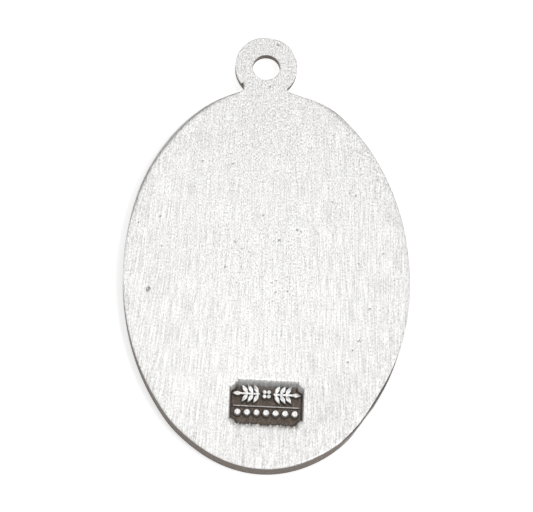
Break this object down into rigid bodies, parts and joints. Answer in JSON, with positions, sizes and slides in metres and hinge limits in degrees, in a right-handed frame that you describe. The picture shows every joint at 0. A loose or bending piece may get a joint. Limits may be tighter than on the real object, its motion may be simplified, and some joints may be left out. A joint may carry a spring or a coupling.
{
  "type": "religious medal pendant",
  "caption": "Oval metal medal with a flat loop on top, plain back with a small sunken panel, raised rim and cross in front.",
  "frame": {"origin": "under the middle of the outline, loop included, on the surface that the front rim lies on", "axes": "+Y from the plate towards the loop, +Z out of the plain back, +X to the right seen from the back"},
  "size_m": [0.02, 0.0316, 0.0018],
  "materials": {
    "silver": "satin silver with fine vertical brush lines, darkened on the edge, in the loop hole and in the sunken panel"
  },
  "bodies": {
    "root": {"medal": "silver"}
  },
  "joints": []
}
